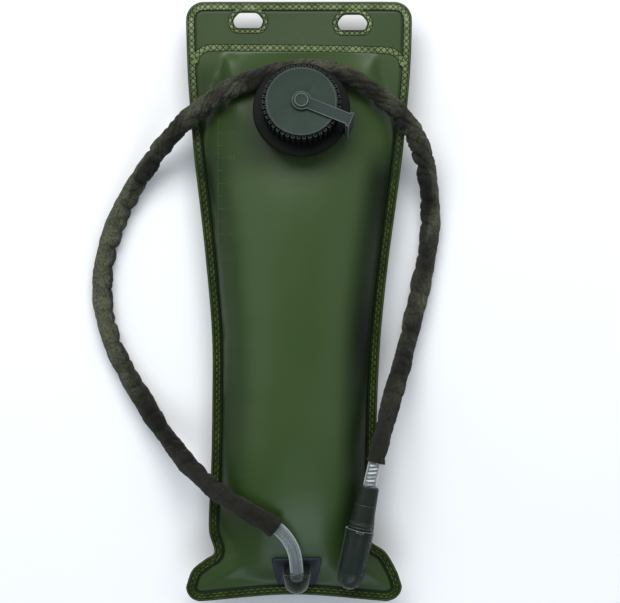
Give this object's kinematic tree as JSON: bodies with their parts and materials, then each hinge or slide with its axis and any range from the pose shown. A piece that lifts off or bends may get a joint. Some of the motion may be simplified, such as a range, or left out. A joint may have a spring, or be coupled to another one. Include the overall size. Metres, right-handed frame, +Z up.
{
  "type": "hydration bladder",
  "caption": "Flexible welded water reservoir with a hanging tab, a tethered screw fill cap, a bottom outlet elbow and a sleeved drinking tube ending in a bite valve.",
  "frame": {"origin": "on the ground under the middle of the reservoir, which lies on its back", "axes": "+Y along the reservoir towards the hanging tab, +X to the right seen from above, +Z up out of the front film"},
  "size_m": [0.2513, 0.43, 0.0903],
  "materials": {
    "film": "satin translucent",
    "black_plastic": "moulded, fine texture",
    "cap_plastic": "satin",
    "leash_plastic": "satin",
    "seal_rubber": "matt",
    "patch_plastic": "satin",
    "clear_plastic": "clear polished",
    "clear_tube": "clear flexible",
    "sleeve_fabric": "plain weave",
    "bite_rubber": "matt"
  },
  "bodies": {
    "reservoir": {"front_panel": "film", "back_panel": "film", "port_collar": "black_plastic", "leash_ring": "leash_plastic", "outlet_patch": "patch_plastic", "outlet_elbow": "clear_plastic", "outlet_gasket": "seal_rubber", "outlet_nut": "black_plastic", "hose": "clear_tube", "hose_sleeve": "sleeve_fabric", "valve_stem": "clear_plastic", "valve_collar": "black_plastic", "valve_body": "black_plastic", "valve_pin": "black_plastic", "valve_o_rings": "seal_rubber"},
    "leash": {"leash_arm": "leash_plastic"},
    "cap": {"fill_cap": "cap_plastic", "cap_gasket": "seal_rubber", "cap_button": "cap_plastic"},
    "bite_valve": {"shutoff_slider": "black_plastic", "mouthpiece": "bite_rubber"},
    "dust_cover": {"dust_cap": "clear_plastic"}
  },
  "joints": [
    {"name": "cap_lift", "type": "slide", "parent": "reservoir", "child": "leash", "axis": [0, 0.2588, 0.9659], "range_m": [0, 0.008]},
    {"name": "cap_turn", "type": "hinge", "parent": "leash", "child": "cap", "pos_m": [0.0019, 0.13985, 0.08336], "axis": [0, 0.2588, 0.9659], "range_deg": [0, 720]},
    {"name": "valve_pull", "type": "slide", "parent": "reservoir", "child": "bite_valve", "axis": [-0.2095, -0.9754, -0.0681], "range_m": [0, 0.004]},
    {"name": "dust_cap_pull", "type": "slide", "parent": "bite_valve", "child": "dust_cover", "axis": [-0.2095, -0.9754, -0.0681], "range_m": [0, 0.05]}
  ],
  "couplings": [
    {"joint": "cap_lift", "follows": "cap_turn", "m_per_rad": 0.00063662}
  ]
}
